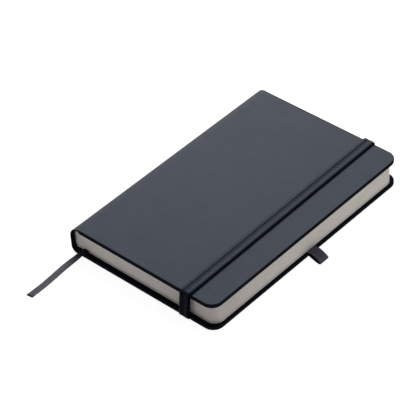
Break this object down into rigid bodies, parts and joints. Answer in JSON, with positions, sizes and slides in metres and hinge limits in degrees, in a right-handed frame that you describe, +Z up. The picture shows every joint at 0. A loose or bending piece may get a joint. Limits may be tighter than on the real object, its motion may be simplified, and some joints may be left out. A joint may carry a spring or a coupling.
{
  "type": "pocket notebook",
  "caption": "Hard-cover pocket notebook with a soft-touch skin, rounded fore-edge corners, elastic closure band, pen loop and ribbon marker.",
  "frame": {"origin": "centre of the back cover's outer face, the face the closed book lies on", "axes": "+X from the spine to the fore edge, +Y from the tail to the head, +Z up through the closed book from the back cover to the front cover"},
  "size_m": [0.1022, 0.1775, 0.0174],
  "materials": {
    "cover_skin": "matte",
    "greyboard": "matte",
    "endpaper": "matte",
    "page_paper": "matte",
    "gauze": "woven",
    "thread": "twisted",
    "elastic": "ribbed",
    "ribbon": "satin"
  },
  "bodies": {
    "back_cover": {"back_board": "greyboard", "back_cover_wrap": "cover_skin", "back_pastedown": "endpaper", "band_anchor_tail": "elastic", "band_anchor_head": "elastic", "pen_loop_tab": "elastic", "back_flyleaf": "endpaper", "back_spine_lining": "gauze", "back_sewing_thread": "thread", "ribbon_inside": "ribbon", "ribbon_marker": "ribbon", "signature_08": "page_paper", "signature_09": "page_paper", "signature_10": "page_paper", "signature_11": "page_paper", "signature_12": "page_paper"},
    "spine": {"spine_wrap": "cover_skin", "spine_liner": "greyboard"},
    "front_cover": {"front_board": "greyboard", "front_cover_wrap": "cover_skin", "front_pastedown": "endpaper"},
    "front_pages": {"front_flyleaf": "endpaper", "front_spine_lining": "gauze", "front_sewing_thread": "thread", "signature_01": "page_paper", "signature_02": "page_paper", "signature_03": "page_paper", "signature_04": "page_paper", "signature_05": "page_paper"},
    "middle_pages_front": {"signature_06": "page_paper"},
    "middle_pages_back": {"signature_07": "page_paper"},
    "elastic_band": {"elastic_band": "elastic"},
    "pen_loop": {"pen_loop": "elastic"}
  },
  "joints": [
    {"name": "spine_hinge", "type": "hinge", "parent": "back_cover", "child": "spine", "pos_m": [-0.04572, 0, 0.00103], "axis": [0, -1, 0], "range_deg": [0, 90]},
    {"name": "front_cover_hinge", "type": "hinge", "parent": "spine", "child": "front_cover", "pos_m": [-0.04485, 0, 0.0145], "axis": [0, -1, 0], "range_deg": [0, 90]},
    {"name": "front_pages_turn", "type": "hinge", "parent": "back_cover", "child": "front_pages", "pos_m": [-0.0458, 0, 0.00831], "axis": [0, -1, 0], "range_deg": [0, 180]},
    {"name": "middle_front_turn", "type": "hinge", "parent": "back_cover", "child": "middle_pages_front", "pos_m": [-0.0458, 0, 0.00831], "axis": [0, -1, 0], "range_deg": [0, 176]},
    {"name": "middle_back_lift", "type": "hinge", "parent": "back_cover", "child": "middle_pages_back", "pos_m": [-0.0458, 0, 0.00831], "axis": [0, -1, 0], "range_deg": [0, 4]},
    {"name": "band_release", "type": "hinge", "parent": "back_cover", "child": "elastic_band", "pos_m": [0.0281, 0, 0.0005], "axis": [0, 1, 0], "range_deg": [0, 180], "deforming": ["elastic_band"]},
    {"name": "pen_loop_flex", "type": "hinge", "parent": "back_cover", "child": "pen_loop", "pos_m": [0.04735, 0.00125, 0.00165], "axis": [0, -1, 0], "range_deg": [0, 60], "stiffness_Nm_per_rad": 0.0005}
  ],
  "couplings": [
    {"joint": "spine_hinge", "follows": "front_cover_hinge", "ratio": 1},
    {"joint": "front_pages_turn", "follows": "front_cover_hinge", "ratio": 2},
    {"joint": "middle_front_turn", "follows": "front_cover_hinge", "ratio": 1.9555},
    {"joint": "middle_back_lift", "follows": "front_cover_hinge", "ratio": 0.0444},
    {"joint": "band_release", "follows": "front_cover_hinge", "ratio": 2}
  ]
}
